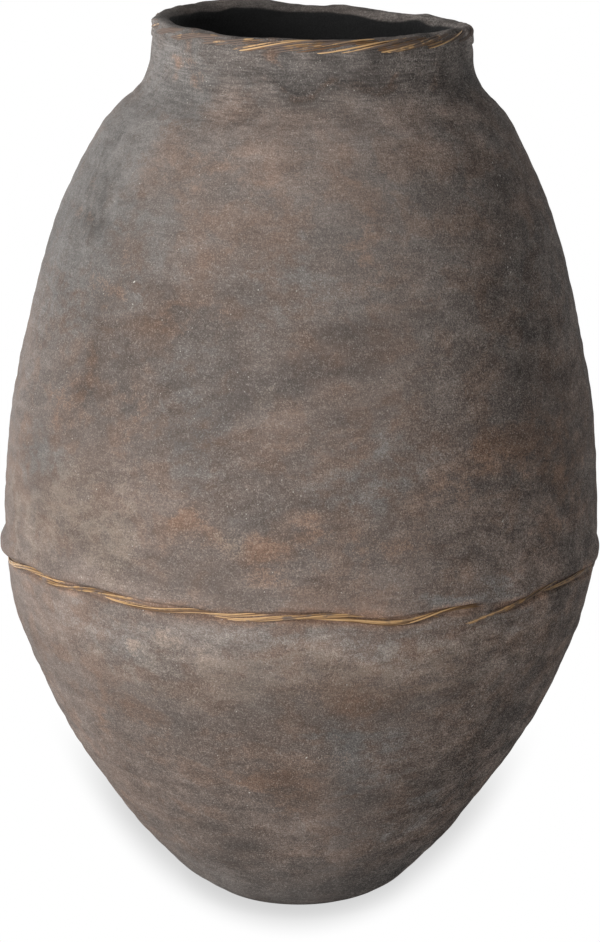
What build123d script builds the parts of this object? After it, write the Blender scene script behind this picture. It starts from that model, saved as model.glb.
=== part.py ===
from build123d import *
import os
from math import degrees, sqrt

# Greek pithos: a tall storage jar raised from a clay slab in bevelled courses. A clay roll and a straw rope
# close the seam where the upper half stands on the lower one, and a second rope is bedded in the rolled lip.
# Millimetres, +Z up, with the origin at the centre of the foot, on the floor.

# Wall line, from the foot to the lip, on the outside of the jar
foot_radius = 77.0
heel_slope = 27.0  # degrees above the floor where the wall leaves the foot
heel_run = 78.0
heel_rise = 64.0
seam_radius = 295.0
seam_height = 366.0
seam_lean = 2.2  # degrees off plumb, outwards, where the two halves meet
shoulder_radius = 208.0
shoulder_rise = 406.0  # above the seam
shoulder_lean = 27.0  # degrees off plumb, inwards
neck_radius = 157.0
neck_rise = 79.0  # above the shoulder
neck_length = 19.0

# Clay
wall = 20.0
base_thickness = 26.0
joint_bevel = 25.0  # degrees between a joint and the square cut across the wall
lower_courses = ["foot_course", "lower_course", "under_belly_course"]
upper_courses = ["over_belly_course", "middle_course", "shoulder_course"]

# Clay roll over the belly seam, laid on the wall above the rope
band_width = 34.0
band_bulge = 4.5

# Belly rope, bedded in the seam
belly_rope_radius = 5.7
belly_rope_depth = 3.0  # of the rope's centre inside the wall line

# Lip roll, flush with the mouth's bore, and the rope in its outer upper face
lip_radius = 12.0
lip_seat_drop = 8.0  # from the roll's centre down to its seat on the neck
rim_rope_radius = 7.8
rim_rope_out = 4.5  # from the roll's centre to the rope's
rim_rope_up = 4.0

# Ropes, each a tube with flat sides
rope_sides = 12

# Fits
rope_clearance = 0.3  # between a rope and its groove
rope_end_gap = 1.5  # between a rope's two ends, which meet at the back

os.makedirs("parts", exist_ok=True)


def heading(angle):
    """Unit direction at an angle in degrees above level, in the section's plane."""
    return Vector(1, 0).rotate(Axis.Z, angle)


def biarc(start, start_way, finish, finish_way):
    """Draws two arcs, smooth where they meet, from start along start_way to finish along finish_way."""
    span = finish - start
    spread = 2 * (1 - start_way.dot(finish_way))
    along = 2 * span.dot(start_way + finish_way)
    reach = (sqrt(along**2 + 4 * spread * span.dot(span)) - along) / (2 * spread)
    before = start + start_way * reach
    after = finish - finish_way * reach
    meeting = (before + after) * 0.5
    TangentArc(start, meeting, tangent=start_way)
    TangentArc(meeting, finish, tangent=after - before)


def rope_ring(name, centre, radius):
    """Writes one rope as an unbroken tube round the jar, its two ends meeting behind."""
    open_angle = degrees(rope_end_gap / centre.X)
    with BuildPart() as rope:
        with BuildSketch(Plane.XZ.rotated((0, 0, 90 + open_angle / 2))):
            with Locations(centre):
                RegularPolygon(radius, rope_sides)
        revolve(axis=Axis.Z, revolution_arc=360 - open_angle)
    rope.part.label = name
    export_step(rope.part, f"parts/{name}.step")


# Wall line in the section's plane, radius across and height up: the lower half, then the upper one
foot_edge = Vector(foot_radius, 0)
heel_end = Vector(foot_radius + heel_run, heel_rise)
seam = Vector(seam_radius, seam_height)
shoulder = Vector(shoulder_radius, seam_height + shoulder_rise)
neck_start = Vector(neck_radius, shoulder.Y + neck_rise)
lip_seat = Vector(neck_radius, neck_start.Y + neck_length)

plumb = heading(90)
seam_way = heading(90 - seam_lean)
shoulder_way = heading(90 + shoulder_lean)

with BuildLine() as lower_half:
    heel = TangentArc(foot_edge, heel_end, tangent=heading(heel_slope))
    biarc(heel_end, heel % 1, seam, seam_way)

with BuildLine() as upper_half:
    biarc(seam, seam_way, shoulder, shoulder_way)
    biarc(shoulder, shoulder_way, neck_start, plumb)

# Grooves for the two ropes
belly_rope_centre = seam - Vector(belly_rope_depth, 0)
belly_groove_radius = belly_rope_radius + rope_clearance
lip_centre = Vector(neck_radius - wall + lip_radius, lip_seat.Y + lip_seat_drop)
rim_rope_centre = lip_centre + Vector(rim_rope_out, rim_rope_up)
rim_groove_radius = rim_rope_radius + rope_clearance

# Base slab: the jar's solid foot, flat on top where the first course stands
with BuildPart() as base_slab:
    with BuildSketch(Plane.XZ):
        with BuildLine():
            add(lower_half.line)
            Polyline(seam, (0, seam_height), (0, 0), foot_edge)
        make_face()
        Rectangle(seam_radius, base_thickness, align=(Align.MIN, Align.MIN), mode=Mode.INTERSECT)
    revolve(axis=Axis.Z)
base_slab.part.label = "base_slab"
export_step(base_slab.part, "parts/base_slab.step")

# Joints between the courses, each as its outer and inner end: level on the slab, bevelled between courses
# of equal length, and level again under the lip
joint_reach = 2 * wall
joints = [(Vector(seam_radius, base_thickness), Vector(0, base_thickness))]
for half, courses in ((lower_half.wire(), lower_courses), (upper_half.wire(), upper_courses)):
    for number in range(1, len(courses) + 1):
        along = half.length * number / len(courses)
        place = half.position_at(along, PositionMode.LENGTH)
        way = half.tangent_at(along, PositionMode.LENGTH)
        inwards = way.rotate(Axis.Z, 90 - joint_bevel)
        joints.append((place - inwards * joint_reach, place + inwards * joint_reach))
joints.append((lip_seat + heading(0) * joint_reach, lip_seat - heading(0) * joint_reach))

# Wall courses and the neck collar: the wall's section between two joints, turned round the jar's axis
for name, below, above in zip([*lower_courses, *upper_courses, "neck_collar"], joints, joints[1:]):
    with BuildPart() as course:
        with BuildSketch(Plane.XZ):
            with BuildLine():
                add(lower_half.line)
                add(upper_half.line)
                Line(neck_start, lip_seat)
                offset(amount=wall, side=Side.LEFT)
            make_face()
            Polygon(below[0], above[0], above[1], below[1], align=None, mode=Mode.INTERSECT)
            with Locations(belly_rope_centre):
                RegularPolygon(belly_groove_radius, rope_sides, mode=Mode.SUBTRACT)
        revolve(axis=Axis.Z)
    course.part.label = name
    export_step(course.part, f"parts/{name}.step")

# Belly band: a low clay roll on the wall, from the rope upwards
band_top = upper_half.wire().position_at(band_width, PositionMode.LENGTH)
band_middle = upper_half.wire().position_at(band_width / 2, PositionMode.LENGTH)
band_way = upper_half.wire().tangent_at(band_width / 2, PositionMode.LENGTH)
with BuildPart() as belly_band:
    with BuildSketch(Plane.XZ):
        with BuildLine():
            ThreePointArc(seam, band_middle + band_way.rotate(Axis.Z, -90) * band_bulge, band_top)
            Line(band_top, seam)
        make_face()
        with BuildLine():
            add(upper_half.line)
            Polyline(neck_start, (0, neck_start.Y), (0, seam_height), seam)
        make_face(mode=Mode.SUBTRACT)
        with Locations(belly_rope_centre):
            RegularPolygon(belly_groove_radius, rope_sides, mode=Mode.SUBTRACT)
    revolve(axis=Axis.Z)
belly_band.part.label = "belly_band"
export_step(belly_band.part, "parts/belly_band.step")

# Rim lip: a clay roll flattened on the neck and hollowed for its rope
with BuildPart() as rim_lip:
    with BuildSketch(Plane.XZ):
        with Locations(lip_centre):
            Circle(lip_radius)
        with Locations(rim_rope_centre):
            RegularPolygon(rim_groove_radius, rope_sides, mode=Mode.SUBTRACT)
        with Locations(lip_seat):
            Rectangle(4 * lip_radius, lip_radius, align=(Align.CENTER, Align.MAX), mode=Mode.SUBTRACT)
    revolve(axis=Axis.Z)
rim_lip.part.label = "rim_lip"
export_step(rim_lip.part, "parts/rim_lip.step")

# Straw ropes
rope_ring("belly_rope", belly_rope_centre, belly_rope_radius)
rope_ring("rim_rope", rim_rope_centre, rim_rope_radius)
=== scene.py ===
import bpy
import numpy as np
from bpy.props import FloatProperty, FloatVectorProperty, IntProperty, PointerProperty
from mathutils import Matrix, Vector


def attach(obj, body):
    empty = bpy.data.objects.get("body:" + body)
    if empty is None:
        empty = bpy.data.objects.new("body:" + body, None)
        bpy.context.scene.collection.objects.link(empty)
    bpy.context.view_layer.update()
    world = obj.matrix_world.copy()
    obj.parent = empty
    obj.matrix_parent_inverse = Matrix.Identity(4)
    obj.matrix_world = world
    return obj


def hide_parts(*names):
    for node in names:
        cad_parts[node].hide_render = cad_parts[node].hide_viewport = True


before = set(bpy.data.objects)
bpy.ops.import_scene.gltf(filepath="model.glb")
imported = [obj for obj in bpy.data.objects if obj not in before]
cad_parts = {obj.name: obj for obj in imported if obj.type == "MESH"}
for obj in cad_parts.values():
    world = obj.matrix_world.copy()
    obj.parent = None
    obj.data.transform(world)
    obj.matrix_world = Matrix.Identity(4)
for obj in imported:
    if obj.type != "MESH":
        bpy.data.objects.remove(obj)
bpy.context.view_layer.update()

bl_info = {
    "name": "Pithos finish",
    "version": (1, 0, 0),
    "blender": (4, 5, 0),
    "location": "3D View > Sidebar > Pithos",
    "description": "Slip-covered clay wall, smeared seam, rolled lip and straw ropes of a large storage jar",
    "category": "Object",
}

# The jar's section is drawn with complex numbers, radius + height j, and a grid's rows follow that section
# while its columns go round the jar. Lengths are in metres unless a table says millimetres. Directions and
# half widths round the jar are in degrees, with -90 towards the camera and 0 on the right, and azimuths of
# places on it are in radians.
TURN = 2 * np.pi
MM = 0.001
ALL_ROUND = np.inf

# Grid of the skin: its columns, its rows' steps on the outer wall, about the seam and on the inner wall,
# and its rows over the lip and on the foot and the slab, whose fans of triangles start at a share of the
# radius
COLUMNS = 640
WALL_STEP = 0.0028
SEAM_STEP = 0.0010
SEAM_REACH = 0.02
INNER_STEP = 0.010
LIP_ROWS = 44
DISC_ROWS = 14
POLE_SHARE = 0.04
COURSES = [
    "foot_course", "lower_course", "under_belly_course",
    "over_belly_course", "middle_course", "shoulder_course", "neck_collar",
]

# Noise on the clay: the radius at which its reaches are measured, then for each kind the amount, the reach
# round the jar, the reach up it and the seed
MEAN_RADIUS = 0.25
NOISE = {
    "lumps": (0.0009, 0.11, 0.09, 1),
    "dents": (0.00035, 0.028, 0.020, 2),
    "ridges": (0.00022, 0.120, 0.005, 3),
    "wrinkles": (0.0014, 0.0042, 0.0065, 4),
    "bed_edge": (0.0008, 0.010, 0.004, 12),
    "smears": (1.0, 0.030, 1.0, 13),
    "marks_across": (0.010, 0.020, 0.016, 21),
    "marks_up": (0.008, 0.024, 0.012, 22),
    "lip_lumps": (0.0005, 0.030, 0.008, 31),
    "lip_dents": (0.0002, 0.008, 0.004, 32),
    "lip_coat": (0.0004, 0.020, 0.006, 33),
    "inner_lumps": (0.0010, 0.06, 0.04, 41),
    "inner_black_edge": (0.0006, 0.015, 0.008, 42),
    "band_edge": (0.002, 0.03, 1.0, 51),
    "band_height": (0.15, 0.05, 1.0, 52),
}

# Spots on the wall, each with its direction and half width, height and half height in millimetres, and
# amount: swells, in millimetres, wrinkled clay, places that hands rubbed smooth and the shoulder, where
# more slip veils the grit. Dents are deeper by a share where the clay is wrinkled.
SWELLS = [
    (0, ALL_ROUND, 710, 50, 2.0), (0, ALL_ROUND, 574, 50, -2.2), (0, ALL_ROUND, 245, 45, -3.2),
    (0, ALL_ROUND, 20, 18, 1.4), (0, ALL_ROUND, 80, 16, 1.0), (0, 45, 813, 22, 4.0), (0, 45, 370, 55, 3.6),
    (0, 60, 14, 22, 3.0), (180, 60, 18, 20, 1.5), (0, 40, 873, 6, -2.0), (180, 40, 876, 12, -1.8),
]
WRINKLED = [(-150, 10, 720, 55, 1.0)]
WRINKLED_DENTS = 1.5
RUBBED = [(-152, 34, 450, 80, 0.45), (-28, 16, 500, 60, 0.315)]
VEILED = [(0, ALL_ROUND, 730, 90, 0.20)]

# Bare grit: its share on the left, its growth towards the right between two cosines of the azimuth, which
# paints the grit's stronger shading where light grazes the right side, and low down its growth, where that
# starts and how far down it is in full
BARE_LEAST = 0.72
PAINTED_SIDE_CONTRAST = [(-0.9, 0.1, 0.10), (0.2, 0.95, 1.0)]
BARE_LOW = 0.35
BARE_LOW_FROM = 0.32
BARE_LOW_REACH = 0.15

# Fading of the clay's roughness above the foot, below the lip and on the inner wall below the lip
FOOT_FADE = 0.03
LIP_FADE = 0.04
INNER_FADE = 0.03

# Belly rope: its rise over the seam, then its sags and those of the rim, each with its direction, depth in
# millimetres and half width
ROPE_RISE = 0.003
ROPE_SAGS = [
    (180, 19.5, 24), (-143, 3, 7), (-126, 1, 5), (-117, 3, 7), (-102, 3, 6), (-71, 7, 8), (-57, 2.2, 4),
    (-48.5, 3.5, 5), (-45, 5.5, 8), (-2, 17, 20), (42, 4, 8), (95, 5, 10), (140, 3, 7),
]
RIM_SAGS = [(-120, 1.8, 14), (94, 3.6, 14), (68, 1.0, 8), (41, -2.4, 6), (14, 1.2, 12)]

# Places where a strand forks off under the belly rope: direction, depth in millimetres and the strand's
# number. It leaves and returns within these angles, and stands out by a share of the depth.
ROPE_FORKS = [(-59, 11.5, 0), (58, 8, 1), (136, 6, 0)]
FORK_LEAVE = 6.5
FORK_RETURN = 14
FORK_LIFT = 0.09

# The belly rope's bed in the clay: where its edge starts and ends, its depth, how much a cover of clay
# fills it, the covers in front, each with its direction, share and half width, how far from the front the
# chance covers behind start and are in full, which values of the noise they take, and the reach of the
# straw's stain, its strength, and where it is stronger
BED_EDGE = (0.0034, 0.0050)
BED_DEPTH = 0.0030
COVER_FILL = 0.0048
ROPE_COVERS = [(-52.5, 0.35, 1.4324), (-147, 0.5, 1.1459)]
COVERS_BEHIND = (91.673, 114.592)
COVERS_CHANCE = (1.4, 1.9)
STAIN_REACH = 0.0075
STAIN = 0.7
STAIN_FRONT = [(-92, 0.5, 28.648)]

# Clay band: its rows in front and behind, where it starts above the rope, what it lacks of its full width,
# the share of it that feathers out, how deep its edges and its back lie, how deep the skin under it may
# dip, the char and painted shade on its lower part, where it turns in under the hump, and its height as a
# share of its bulge, with the humps' directions, shares and half widths
BAND_ROWS = 30
BAND_BACK_ROWS = 4
BAND_START = 0.0008
BAND_TRIM = 0.011
BAND_FEATHER = 0.36
BAND_EDGE_DEPTH = 0.0005
BAND_BACK_DEPTH = 0.004
BAND_DIP = -0.002
BAND_CHAR_AND_SHADE = 0.10
BAND_LEAST = 0.30
BAND_HUMPS = [(178, 0.75, 36), (-2, 0.25, 36)]

# Lip: the share of its height that stands plumb, how square its section is, the noise's step from row to
# row, the reach of its soft edges, its coat of clay over the rope, how much of that is worn off in front,
# the strands' swell under it, and how far above its seat the rim's sag is full
LIP_FLANK = 0.4
LIP_SQUARENESS = 2.5
LIP_STEP = 0.0012
LIP_SOFT = 0.004
COAT = 0.0008
COAT_WORN = 0.0016
STRAND_SWELL = 0.0008
FULL_SAG = 0.005

# The rim's main dip: direction and half width
RIM_DIP = (45, 42)

# Mouth: depths under the crest where the inner black and the inner lip's darkening start and are full, and
# how far their edge rises at the mouth's ends, with the ends' directions, shares and half widths
INNER_BLACK_EDGE = (0.005, 0.008)
INNER_LIP_DARK_EDGE = (0.0, 0.003)
INNER_BLACK_RISE = 0.0035
MOUTH_ENDS = [(-2, 1.0, 28.648), (180, 1.0, 22.918)]

# The rim rope's lay is drawn out on one side: by how much, where and from which angle, in radians
LAY_DRAW = 1.6
LAY_DRAW_AT = 0.96
LAY_START = 0.74

# Straws: rings and sides of each, straws outside and inside a strand and the radius of their rings in
# straws, straws in a strand's bright blade, straws end to end round the jar, and the reach that turns an
# angle into a length along a straw
STRAW_RINGS = 90
STRAW_SIDES = 5
OUTER_STRAWS = 10
INNER_STRAWS = 3
OUTER_RING = 3.1
INNER_RING = 1.3
BLADE_STRAWS = 2
STRAWS_ROUND = 4
STRAW_REACH = 0.3

# How straws differ: scatter of their starts and their least and greatest span in straws end to end, their
# slip, scatter of their seats in radians, spread of their rings and of their thickness, then the taper's
# rate, end and power, the spread of their tones, how much a bright blade lessens that, and the fibres'
# shift from each to the next
START_SCATTER = 0.4
SPANS = (0.85, 1.35)
SLIP = 2.0
SEAT_SCATTER = 0.12
RING_SPREAD = (0.92, 1.10)
THICKNESS_SPREAD = (0.75, 1.2)
TAPER_RATE = 14
TAPER_END = 0.12
TAPER_POWER = 0.7
TONE_SPREAD = 0.40
BLADE_LIKENESS = 0.5
FIBRE_SHIFT = 7.0

# Clay dust on the ropes: what lies everywhere, then what spots add, each with its direction, amount and
# half width. On the belly rope more lies on the right, from a direction on and over an angle, and on the
# rim rope away from a direction, between two angles from it.
BELLY_DUST = 0.24
BELLY_DUST_SPOTS = [(-92, -0.14, 22.918), (-52.5, 0.5, 1.7189)]
BELLY_DUST_RIGHT = 0.28
BELLY_DUST_FROM = -40
BELLY_DUST_OVER = 28.648
RIM_DUST = 0.32
RIM_DUST_SPOTS = [(-108, 0.22, 11.459)]
RIM_DUST_AWAY = 0.90
RIM_DUST_FROM = -78
RIM_DUST_ANGLES = (14.324, 74.485)

# Marks on the slip: direction, then height, half width and half height in millimetres, the tilt in degrees
# (rising with the azimuth) and the strength. Rust, char, ash and pale marks are stains that fire, soil and
# hands left. A light mark lightens the slip, or darkens it where its strength is below 0: these marks paint
# light and shade into the colour, such as a darker left flank and a lighter right front, along with some of
# the slip's own tone.
MARKS = {
    "rust": [
        (-138, 848, 12, 6, 0, 0.7), (-42, 850, 10, 8, 0, 0.5), (-66, 853, 16, 3, 0, 0.9),
        (-103, 862, 14, 2.5, 0, 0.8), (-84, 844, 40, 3, 0, 0.6), (-122, 768, 45, 25, 0, 0.26),
        (-74, 718, 20, 30, 20, 0.25), (-137, 660, 13, 12, 0, 0.5), (-121, 634, 40, 14, 10, 0.55),
        (-154, 713, 20, 18, 0, 0.2), (-138, 567, 18, 14, 20, 0.5), (-130, 684, 12, 10, 0, 0.35),
        (-137, 587, 10, 14, 0, 0.4), (-145, 531, 30, 14, 0, 0.25), (-125, 547, 14, 35, 0, 0.25),
        (-107, 450, 13, 12, 30, 1.3), (-94, 437, 35, 14, 15, 0.8), (-74, 442, 25, 14, 0, 0.4),
        (-46, 515, 35, 18, 15, 1), (-64, 483, 30, 12, 20, 0.4), (-38, 408, 20, 16, 0, 0.3),
        (-112, 330, 40, 16, 0, 0.3), (-96, 180, 22, 14, 0, 0.6), (-86, 200, 35, 20, 15, 0.35),
        (-75, 272, 20, 14, 0, 0.8), (-84, 292, 40, 12, 0, 0.7), (-66, 298, 25, 12, 0, 0.4),
        (-105, 300, 30, 14, 0, 0.35), (-134, 250, 12, 35, 0, 0.4), (-121, 238, 16, 25, 0, 0.4),
        (-31, 480, 30, 40, 0, 0.45), (35, 560, 50, 25, 10, 0.5), (80, 450, 40, 16, -15, 0.7),
        (120, 640, 30, 20, 0, 0.5), (160, 500, 35, 18, 20, 0.6), (60, 250, 40, 20, 0, 0.4),
        (140, 300, 40, 16, 0, 0.4),
    ],
    "char": [
        (-22, 839, 30, 25, 0, 0.7), (-76, 843, 90, 12, 0, 0.6), (-73, 867, 20, 6, 0, 0.9),
        (-95, 848, 45, 3, 0, 0.9), (-100, 572, 75, 16, 26, 0.75), (-80, 554, 60, 14, 26, 0.7),
        (-40, 558, 35, 30, 30, 0.9), (-78, 615, 70, 13, 24, 0.6), (-62, 34, 50, 20, 0, 0.6),
        (-98, 306, 45, 25, 0, 0.35), (-68, 283, 70, 25, 0, 0.4), (-132, 273, 40, 20, 0, 0.3),
        (-121, 242, 30, 25, 0, 0.3), (-88, 185, 40, 20, 0, 0.35), (-74, 122, 25, 40, 0, 0.35),
        (-72, 393, 120, 8, 0, 0.3), (-108, 389, 60, 8, 0, 0.5), (-111, 86, 20, 14, 0, 0.5),
        (-57, 82, 16, 10, 0, 0.6), (-64, 168, 50, 12, 25, 0.4), (-41, 257, 25, 30, 0, 0.4),
        (30, 780, 80, 40, 0, 0.6), (100, 560, 90, 30, 20, 0.5), (70, 700, 60, 40, 0, 0.4),
        (150, 200, 70, 30, 0, 0.4),
    ],
    "ash": [
        (-152, 785, 65, 60, 0, 0.8), (-136, 665, 55, 50, 0, 0.5), (-160, 681, 70, 60, 0, 0.5),
        (-112, 552, 30, 35, 0, 0.35), (-75, 497, 60, 35, 15, 0.5), (-103, 438, 22, 18, 0, 0.5),
        (-150, 483, 40, 20, 0, 0.6), (-76, 219, 35, 20, 0, 0.6), (-119, 322, 60, 20, 0, 0.7),
        (-88, 124, 40, 30, 0, 0.12), (-84, 346, 120, 12, 0, 0.5), (-97, 293, 30, 20, 0, 0.4),
        (-109, 503, 40, 30, 0, 0.15), (-80, 234, 30, 16, 0, 0.4), (-56, 134, 25, 16, 0, 0.4),
        (-56, 372, 40, 12, 0, 0.8), (-78, 185, 25, 14, 0, 0.4), (-91, 679, 45, 30, 0, 0.45),
        (-136, 845, 35, 18, 0, 0.5), (50, 620, 80, 50, 15, 0.6), (110, 380, 90, 30, 0, 0.6),
        (165, 700, 60, 60, 0, 0.5), (20, 330, 70, 30, 0, 0.5),
    ],
    "pale": [
        (-127, 414, 26, 30, 0, 0.7), (-95, 567, 7, 6, 0, 0.7), (-148, 420, 50, 35, 0, 0.45),
        (-136, 454, 40, 25, 0, 0.4), (-89, 203, 12, 10, 0, 0.3), (-103, 436, 12, 10, 0, 0.5),
        (-161, 425, 3, 8, 0, 0.9), (-158, 405, 3, 10, 0, 0.9), (-155, 418, 4, 7, 0, 0.8),
        (-150, 398, 4, 9, 0, 0.7), (-110, 305, 120, 30, 0, 0.35), (-70, 310, 120, 30, 0, 0.35),
        (130, 420, 40, 30, 0, 0.5), (85, 330, 50, 20, 0, 0.4),
    ],
    # Painted light and shade, with some of the slip's own tone: broad patches that lighten or darken the
    # colour
    "light": [
        (-95, 806, 160, 14, 0, 0.22), (-52, 808, 50, 20, 0, 0.3), (-60, 838, 50, 14, 0, 0.2),
        (-88, 868, 50, 10, 0, -0.2), (-113, 838, 30, 12, 0, -0.18), (-126, 575, 70, 58, 0, -0.28),
        (-106, 485, 45, 25, 0, -0.2), (-104, 655, 30, 30, 0, -0.15), (-40, 398, 55, 35, 0, 0.5),
        (-150, 345, 80, 28, 0, 0.22), (-118, 415, 90, 16, 0, -0.16), (-140, 450, 50, 30, 0, -0.14),
        (-80, 575, 40, 30, 20, 0.16), (-86, 838, 22, 10, 0, -0.22), (-36, 800, 22, 22, 0, 0.25),
        (-90, 775, 60, 18, 0, 0.1), (-90, 327, 250, 20, 0, 0.15), (-70, 385, 70, 20, 0, 0.18),
        (-105, 250, 80, 50, 0, -0.2), (-108, 120, 50, 50, 0, -0.2), (-90, 792, 35, 16, 0, 0.16),
        (-37, 782, 35, 25, 0, -0.22), (-169, 663, 50, 50, 0, -0.14), (-54, 700, 45, 35, 0, 0.18),
        (-112, 611, 40, 30, 0, -0.14), (-90, 618, 40, 25, 0, -0.13), (-89, 465, 35, 22, 0, -0.2),
        (-57, 394, 30, 14, 0, -0.18), (-42, 382, 35, 14, 0, 0.2), (-99, 334, 40, 18, 0, 0.2),
        (-46, 314, 50, 30, 0, 0.26), (-152, 205, 50, 35, 0, 0.16), (-116, 151, 30, 18, 0, 0.18),
        (-63, 156, 30, 18, 0, -0.2), (-102, 78, 34, 14, 0, -0.26), (-81, 81, 22, 12, 0, 0.26),
        (-77, 850, 75, 12, 0, -0.22), (-88, 127, 30, 22, 0, 0.2), (-96, 180, 24, 14, 0, -0.16),
        (-84, 291, 45, 14, 0, -0.14), (-75, 272, 22, 14, 0, -0.16), (-115, 462, 35, 16, 0, 0.12),
        (-110, 235, 60, 20, 0, -0.12), (-76, 255, 50, 16, 0, -0.12), (-129, 165, 25, 20, 0, -0.16),
        (-137, 788, 35, 25, 0, 0.12), (-98, 792, 22, 14, 0, -0.1), (-80, 332, 30, 14, 0, 0.12),
        (25, 873, 90, 14, 0, 0.6), (-10, 873, 40, 14, 0, 0.5), (-45, 514, 35, 20, 0, 0.12),
        (-100, 866, 60, 6, 0, -0.08), (-92, 442, 30, 10, 0, 0.16), (-37, 645, 40, 35, 0, -0.22),
        (-146, 520, 50, 40, 0, -0.08), (-157, 762, 12, 10, 0, -0.22), (-147, 757, 12, 10, 0, -0.18),
        (-149, 724, 10, 14, 0, -0.22), (-153, 708, 18, 14, 0, -0.22), (-172, 689, 20, 22, 0, -0.2),
        (-150, 773, 10, 10, 0, 0.22), (-145, 738, 9, 12, 0, 0.24), (-145, 788, 16, 14, 0, 0.18),
        (-138, 764, 18, 14, 0, 0.16), (-152, 630, 30, 18, 0, -0.1), (-49.5, 175, 25, 20, 0, 0.12),
        (-137, 660, 16, 14, 0, -0.18), (-121, 634, 40, 14, 10, -0.16), (-137, 587, 12, 16, 0, -0.14),
        (-138, 565, 18, 14, 20, -0.14), (-130, 686, 22, 16, 0, -0.12), (-128, 757, 30, 30, 0, -0.08),
        (60, 600, 100, 60, 0, -0.2), (120, 280, 100, 40, 0, 0.15), (90, 800, 120, 14, 0, 0.2),
        (150, 450, 80, 50, 0, -0.15),
    ],
}

# Where the brush lines climb: height and reach
SLANT_HEIGHT = 0.55
SLANT_REACH = 0.13

# Painted highlights: single white dots where grains glint, with how near a row has to be, then direction and
# height in millimetres
GLINT_REACH = 0.003
GLINTS = [
    (-34.5, 768), (-36, 748), (-33, 756), (-35, 701), (-40, 698), (-40.5, 705), (-39, 684), (-40.5, 677),
    (-40, 671), (-129, 664), (-49.5, 447), (-88, 214), (-101.5, 170), (-51.5, 258), (-51, 242), (-42.5, 296),
    (40, 650), (75, 500), (110, 720), (150, 580),
]

# The most of the slip's colour that each kind of mark takes away, from the lowest layer to the top one
COVER = {"ash": 1.0, "rust": 0.62, "pale": 0.6, "char": 0.5}

# How much patches, brush lines and grit break up a mark's edge
WEAR_PATCHES = 0.45
WEAR_LINES = 0.9
WEAR_GRIT = 0.5

# How much the slip's shade varies with brush lines, less where it is calm, with fine lines and with
# patches, and from which share of bare grit on with dark patches, which grow to the right as painted shade
LINE_SHADE = 0.32
CALM_SHADE = -0.18
FINE_SHADE = 0.55
PATCH_SHADE = 0.18
DARK_SHADE = -0.42
DARK_FROM = 0.45

# How much of the colour white grains, specks and the inner lip's darkening take away, and how far brush
# lines, less low down, and fine lines stand out beside the grit
GRAIN_SHARE = 0.16
SPECK_SHARE = 0.8
INNER_LIP_DARK_SHARE = 0.20
LINE_RELIEF = 0.5
LOW_RELIEF = -0.4
FINE_RELIEF = 0.4

# Cloudy patches of the slip: how they are squeezed along each axis, then size and where in the noise they
# lie
PATCH_STRETCH = (1.0, 1.0, 1.3)
PATCHES = {
    "wide": (0.130, (0, 0, 0)), "broad": (0.052, (3, 0, 0)), "middling": (0.040, (0, 5, 0)),
    "small": (0.016, (0, 0, 7)), "dark": (0.034, (2, 0, 4)),
}

# How the slip changes with height: between two heights, from one amount to another
ZONES = {
    "ashy": (0.35, 0.80, 0.24, 0.45),
    "rusty": (0.76, 0.84, 0.24, 0.10),
    "grey_neck": (0.81, 0.86, 0.0, 0.6),
    "grey_foot": (0.03, 0.10, 0.65, 0.0),
    "streaky": (0.77, 0.86, 0.75, 3.00),
    "low": (0.24, 0.34, 0.8, 0.0),
    "calm": (0.60, 0.72, 0.0, 1.0),
    "neck": (0.79, 0.85, 0.0, 1.0),
}

# Brush lines and the straw's fibres: how often the noise repeats in a metre along each axis
BROAD_LINES = (18.0, 18.0, 62.0)
FINE_LINES = (50.0, 50.0, 480.0)
FIBRES = (60.0, 1600.0, 1600.0)

# Stage: the floor's points along a side and its reach, and the lamps' size, distance, aim and heights
FLOOR_SIDE = 41
FLOOR_REACH = 20.0
LAMP_SIZE = (1.6, 2.0)
LAMP_AWAY = 2.7
LAMP_AIM = 0.45
KEY_HEIGHT = 1.0
EDGE_HEIGHT = 0.7


def length(name, description, default):
    """A size in metres."""
    return FloatProperty(name=name, description=description, default=default, unit="LENGTH", precision=4)


def angle(name, description, degrees):
    """An angle, given in degrees and kept in radians."""
    return FloatProperty(name=name, description=description, default=np.radians(degrees), subtype="ANGLE")


def amount(name, description, default, unit="NONE"):
    """A plain number, or one with a unit."""
    return FloatProperty(name=name, description=description, default=default, unit=unit)


def count(name, description, default):
    """A whole number."""
    return IntProperty(name=name, description=description, default=default)


def colour(name, description, default):
    """A linear colour."""
    return FloatVectorProperty(name=name, description=description, default=default, subtype="COLOR", size=3,
                               min=0.0, max=1.0)


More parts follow.
